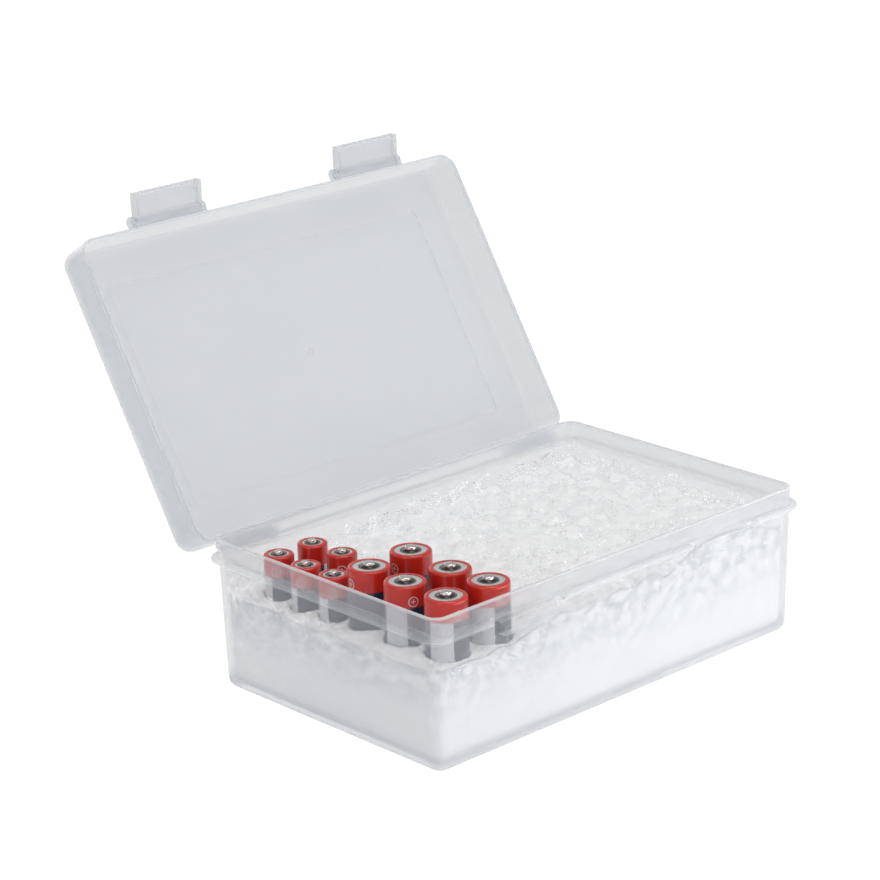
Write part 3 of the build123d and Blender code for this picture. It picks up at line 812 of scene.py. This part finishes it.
top = np.stack([gx, gy, gz], -1)
rim = outline(top)
count = len(rim)
ROWS = 46
depth = np.linspace(0, 1, ROWS + 1)[1:, None]
steps = np.linalg.norm(np.diff(rim[:, :2], axis=0), axis=1)
around = np.concatenate([[0], np.cumsum(steps)])[None, :]
FOOT_HEIGHT = 1.95 * MM
sz = rim[:, 2] * (1 - depth) + FOOT_HEIGHT * depth
low_edge = np.clip((4.2 * MM - sz) / (2 * MM), 0, 1) ** 2 * 1.4 * MM
lean = (FILL_TOP - np.minimum(sz, FILL_TOP)) * WALL_LEAN + low_edge
fold_in = np.clip(0.5 + 0.9 * folded_waves(around + 0 * sz, sz, 5 * MM, 5, 21)
                  + 0.6 * folded_waves(around + 0 * sz, sz, 2 * MM, 5, 22), 0, 2) * 0.12 * MM
fold_in *= np.clip(depth * 12, 0, 1)
flat_grid = np.meshgrid(u * FILL_HALF[0], v * FILL_HALF[1], indexing="ij")
base = outline(np.stack(round_corners(*flat_grid, *FILL_HALF, CORNER), -1))
sides = np.stack([base[:, 0] * (1 - (lean + fold_in) / FILL_HALF[0]),
                  base[:, 1] * (1 - (lean + fold_in) / FILL_HALF[1]), sz], -1)
points = np.concatenate([top.reshape(-1, 3), sides.reshape(-1, 3)])
nu, nv = top.shape[:2]
top_quads = grid_faces(nu, nv, False, False)
number = np.arange(nu * nv).reshape(nu, nv)
rim_number = outline(number[..., None])[:, 0]
first_side = nu * nv
side_number = first_side + np.arange(ROWS * count).reshape(ROWS, count)
ladder = np.concatenate([rim_number[None], side_number])
c = np.arange(count)
c1 = (c + 1) % count
side_quads = np.concatenate([np.stack([ladder[r, c], ladder[r + 1, c], ladder[r + 1, c1],
                                       ladder[r, c1]], 1) for r in range(ROWS)])
middle = len(points)
points = np.concatenate([points, [[0, 0, FOOT_HEIGHT]]])
underside = np.stack([ladder[-1, c], np.full(count, middle), ladder[-1, c1]], 1)
heap = mesh_piece("film_heap", points, np.concatenate([top_quads, side_quads]), underside)
print("heap of", 2 * (len(top_quads) + len(side_quads)), "triangles")

# %% [markdown]
# ## Glints
# Each small fold of the film that catches a light is a bright point, made brighter by a painted
# glow (emission) in its finish. A glint has only four faces, because there are thousands of them,
# on the heap and pressed against the walls.

# %% Glints
GLINT_HIGHEST = 47.4 * MM
WALL_INSET = -0.05 * MM     # the wall glints lie this far outside the heap's own outline
WALL_STEP = 1e-4            # share of the way round that gives the wall's direction


def clear_of_cells(x, y, margin):
    """True where a place is outside every cell by this margin and inside the walls."""
    free = (np.abs(x) < FILL_HALF[0] - 1.2 * MM) & (np.abs(y) < FILL_HALF[1] - 1.2 * MM)
    for centre, radius in cells.values():
        free &= np.hypot(x - centre[0], y - centre[1]) > radius + margin
    return free


def any_way(count, tilt):
    """Random turned frames: a long direction, a side direction and a normal that leans by up to
    tilt."""
    a = rng.uniform(0, 2 * np.pi, count)
    lean, way = rng.uniform(0, tilt, count), rng.uniform(0, 2 * np.pi, count)
    up = np.stack([np.sin(lean) * np.cos(way), np.sin(lean) * np.sin(way), np.cos(lean)], -1)
    along = np.stack([np.cos(a), np.sin(a), np.zeros(count)], -1)
    along -= up * (along * up).sum(-1, keepdims=True)
    along /= np.linalg.norm(along, axis=-1, keepdims=True)
    return along, np.cross(up, along), up


def slim_faces(first):
    """The four faces of each sliver, whose points are its two ends and its two sides."""
    return np.concatenate([first + f for f in ([0, 1, 2], [1, 0, 3], [0, 2, 3], [1, 3, 2])])


def glints(name, count, low, high, tilt):
    """Folded slivers: slim closed wedges with a crease, at random places on the heap."""
    x = rng.uniform(-FILL_HALF[0], FILL_HALF[0], 4 * count)
    y = rng.uniform(-FILL_HALF[1], FILL_HALF[1], 4 * count)
    dense = clouds(x, y, 11 * MM, 31) + 0.7 * clouds(x, y, 4 * MM, 32)
    keep = clear_of_cells(x, y, 1.3 * MM) & (dense > rng.uniform(-1.1, 0.9, len(x)))
    x, y = x[keep][:count], y[keep][:count]
    z = heap_height(x, y) + creases(x, y) + rng.uniform(-0.1, 0.35, len(x)) * MM
    z = np.minimum(z, GLINT_HIGHEST)
    along, side, up = any_way(len(x), tilt)
    length = rng.uniform(low, high, len(x))[:, None]
    wide = length * rng.uniform(0.25, 0.8, len(x))[:, None]
    fold = rng.uniform(0.2, 0.7, len(x))[:, None] * wide
    middle = np.stack([x, y, z], -1)
    a, b = middle - along * length / 2, middle + along * length / 2
    left, right = middle + side * wide + up * fold, middle - side * wide + up * fold
    points = np.stack([a, b, left, right], 1).reshape(-1, 3)
    first = 4 * np.arange(len(x))[:, None]
    return mesh_piece(name, points, np.empty((0, 4), int), slim_faces(first), smooth=False)


glint_piece = glints("film_glints", 4200, 0.25 * MM, 0.85 * MM, 0.9)
print("glints", len(glint_piece.data.polygons))


def along_wall(t, inset):
    """Place on the film's own outline at share t of the way round, moved in by inset: straight
    sides of a rectangle, whose corners are rounded as the heap's are."""
    a, b = FILL_HALF[0] - inset, FILL_HALF[1] - inset
    d = (t % 1.0) * 4 * (a + b)
    x = np.select([d < 2 * a, d < 2 * a + 2 * b, d < 4 * a + 2 * b],
                  [d - a, a, 3 * a + 2 * b - d], -a)
    y = np.select([d < 2 * a, d < 2 * a + 2 * b, d < 4 * a + 2 * b],
                  [-b, d - 2 * a - b, b], 4 * a + 3 * b - d)
    return round_corners(x, y, FILL_HALF[0], FILL_HALF[1], CORNER)


def wall_lean(x, y, z):
    """The same place drawn in as the drafted wall is at this height."""
    less = np.maximum(FILL_TOP - z, 0) * WALL_LEAN
    return x * (1 - less / FILL_HALF[0]), y * (1 - less / FILL_HALF[1])


def wall_glints(name, count):
    """Slivers pressed flat against the inside of the walls, most of them near the heap's edge."""
    t = rng.uniform(0, 1, 5 * count)
    x, y = along_wall(t, WALL_INSET)
    fall = rng.exponential(6.0, len(t)) * MM - 3.2 * MM
    z = heap_height(x, y) - fall
    dense = clouds(x + y, z, 9 * MM, 41) + 0.8 * clouds(x - y, z, 3.5 * MM, 42)
    keep = (z > 4 * MM) & (z < 46 * MM) & (dense > rng.uniform(-0.9, 1.1, len(t)))
    t, x, y, z = [a[keep][:count] for a in (t, x, y, z)]
    x1, y1 = along_wall(t + WALL_STEP, WALL_INSET)
    x, y = wall_lean(x, y, z)
    along = np.stack([x1 - x, y1 - y, 0 * x], -1)
    along /= np.linalg.norm(along, axis=1, keepdims=True)
    tilt = rng.uniform(0, np.pi, len(t))[:, None]
    upward = np.array([[0, 0, 1.0]])
    inward = np.cross(upward, along)
    long_way = along * np.cos(tilt) + upward * np.sin(tilt)
    side = upward * np.cos(tilt) - along * np.sin(tilt)
    length = rng.uniform(0.3, 1.1, len(t))[:, None] * MM
    wide = length * rng.uniform(0.15, 0.5, len(t))[:, None]
    middle = np.stack([x, y, z], -1)
    a, b = middle - long_way * length / 2, middle + long_way * length / 2
    left = middle + side * wide + inward * 0.15 * MM
    right = middle - side * wide + inward * 0.05 * MM
    points = np.stack([a, b, left, right], 1).reshape(-1, 3)
    first = 4 * np.arange(len(t))[:, None]
    return mesh_piece(name, points, np.empty((0, 4), int), slim_faces(first), smooth=False)


wall_piece = wall_glints("film_wall_glints", 5200)
print("wall glints", len(wall_piece.data.polygons))

# %% Film finishes
def specks(n, link, place, scale, size, share):
    """Round points about one pitch apart: one inside size of each chosen Voronoi centre."""
    node = n.new("ShaderNodeTexVoronoi")
    node.inputs["Scale"].default_value = scale
    link.new(place, node.inputs["Vector"])
    far = map_node(n, link, node.outputs["Distance"], (0.6 * size, size))
    near = value_node(n, link, "SUBTRACT", 1.0, far)
    chosen = value_node(n, link, "LESS_THAN", parts_node(n, link, node.outputs["Color"])[0], share)
    return value_node(n, link, "MULTIPLY", near, chosen)


CREASE_DEPTH = 0.3 * MM
SCATTER_REACH = 1.5 * MM


def film(name, side_shade, spark, roughness, cover, coat, crease, scatter=0.0, shine=0.0, sparkle=0.0):
    """Clear film in a heap: painted highlights as bright specks and folds, over a painted shade
    that makes the sides greyer than the top, most lively near the heap's top edge. crease is the
    depth of its bump, scatter how much light wanders inside the heap, and shine and sparkle are
    emission, a painted glow on the bright folds and on the specks."""
    material, n, link = new_material(name)
    place = n.new("ShaderNodeTexCoord").outputs["Object"]
    fine = noise_node(n, link, place, 1500.0, 3.0)
    patches = noise_node(n, link, place, 240.0, 4.0)
    sparks = map_node(n, link, fine, (0.47, 0.60))
    near_top = map_node(n, link, parts_node(n, link, place)[2], (16 * MM, 34 * MM))
    lively = value_node(n, link, "MULTIPLY", map_node(n, link, patches, (0.40, 0.58)), near_top)
    calm = value_node(n, link, "SUBTRACT", 1.0, lively)
    way_up = parts_node(n, link, n.new("ShaderNodeTexCoord").outputs["Normal"])[2]
    flat = map_node(n, link, value_node(n, link, "ABSOLUTE", way_up), (0.2, 0.6))
    sides = value_node(n, link, "SUBTRACT", 1.0, value_node(n, link, "MULTIPLY", flat, 0.6))
    lively_side = value_node(n, link, "MULTIPLY", lively, sides)
    # Bright specks, mostly on the sides near the top edge, and fine bright noise: painted
    # highlights.
    points = value_node(n, link, "MULTIPLY", specks(n, link, place, 850.0, 0.36, 0.55), lively_side)
    haze = value_node(n, link, "ADD", value_node(n, link, "MULTIPLY", calm, 0.80),
                      value_node(n, link, "MULTIPLY", sparks, 0.25))
    bright = value_node(n, link, "MAXIMUM", points, haze, clamp=True)
    sheet = n.new("ShaderNodeBsdfPrincipled")
    paler = tuple(0.15 * g + 0.85 * c for g, c in zip(side_shade, spark))
    # Sides darker than the top by the way the face turns: a painted shade.
    painted_shade_tone = mix_colour(n, link, flat, side_shade, paler)
    link.new(mix_colour(n, link, bright, painted_shade_tone, spark), sheet.inputs["Base Color"])
    link.new(map_node(n, link, patches, target=roughness), sheet.inputs["Roughness"])
    folds = noise_node(n, link, place, 900.0, 3.0)
    link.new(bump_node(n, link, folds, crease, CREASE_DEPTH), sheet.inputs["Normal"])
    sheet.inputs["Coat Weight"].default_value = coat
    sheet.inputs["Coat Roughness"].default_value = 0.12
    sheet.inputs["Alpha"].default_value = cover
    sheet.inputs["Subsurface Weight"].default_value = scatter
    sheet.inputs["Subsurface Radius"].default_value = (1.0, 1.0, 1.0)
    sheet.inputs["Subsurface Scale"].default_value = SCATTER_REACH
    # Emission on the bright folds and on the specks: a painted glow.
    sheet.inputs["Emission Strength"].default_value = 1.0
    lift = value_node(n, link, "MULTIPLY", points, sparkle)
    link.new(value_node(n, link, "ADD", value_node(n, link, "MULTIPLY", bright, shine), lift),
             sheet.inputs["Emission Color"])
    show(n, link, sheet)
    return material


heap_finish = film("crumpled_film", (0.68, 0.70, 0.72), (0.93, 0.935, 0.94), (0.55, 0.8), 1.0,
                   0.05, 0.4, scatter=0.25, shine=0.05, sparkle=0.45)
# The glints' finish glows through emission (shine): a painted highlight.
glint_finish = film("glinting_film", (0.9, 0.9, 0.9), (0.95, 0.95, 0.96), (0.1, 0.3), 0.8, 0.8, 0.3,
                    shine=0.30)
finish(heap, heap_finish)
finish(wall_piece, glint_finish)
finish(glint_piece, glint_finish)
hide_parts("packing_fill")
for piece in (heap, glint_piece, wall_piece):
    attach(piece, "tub")
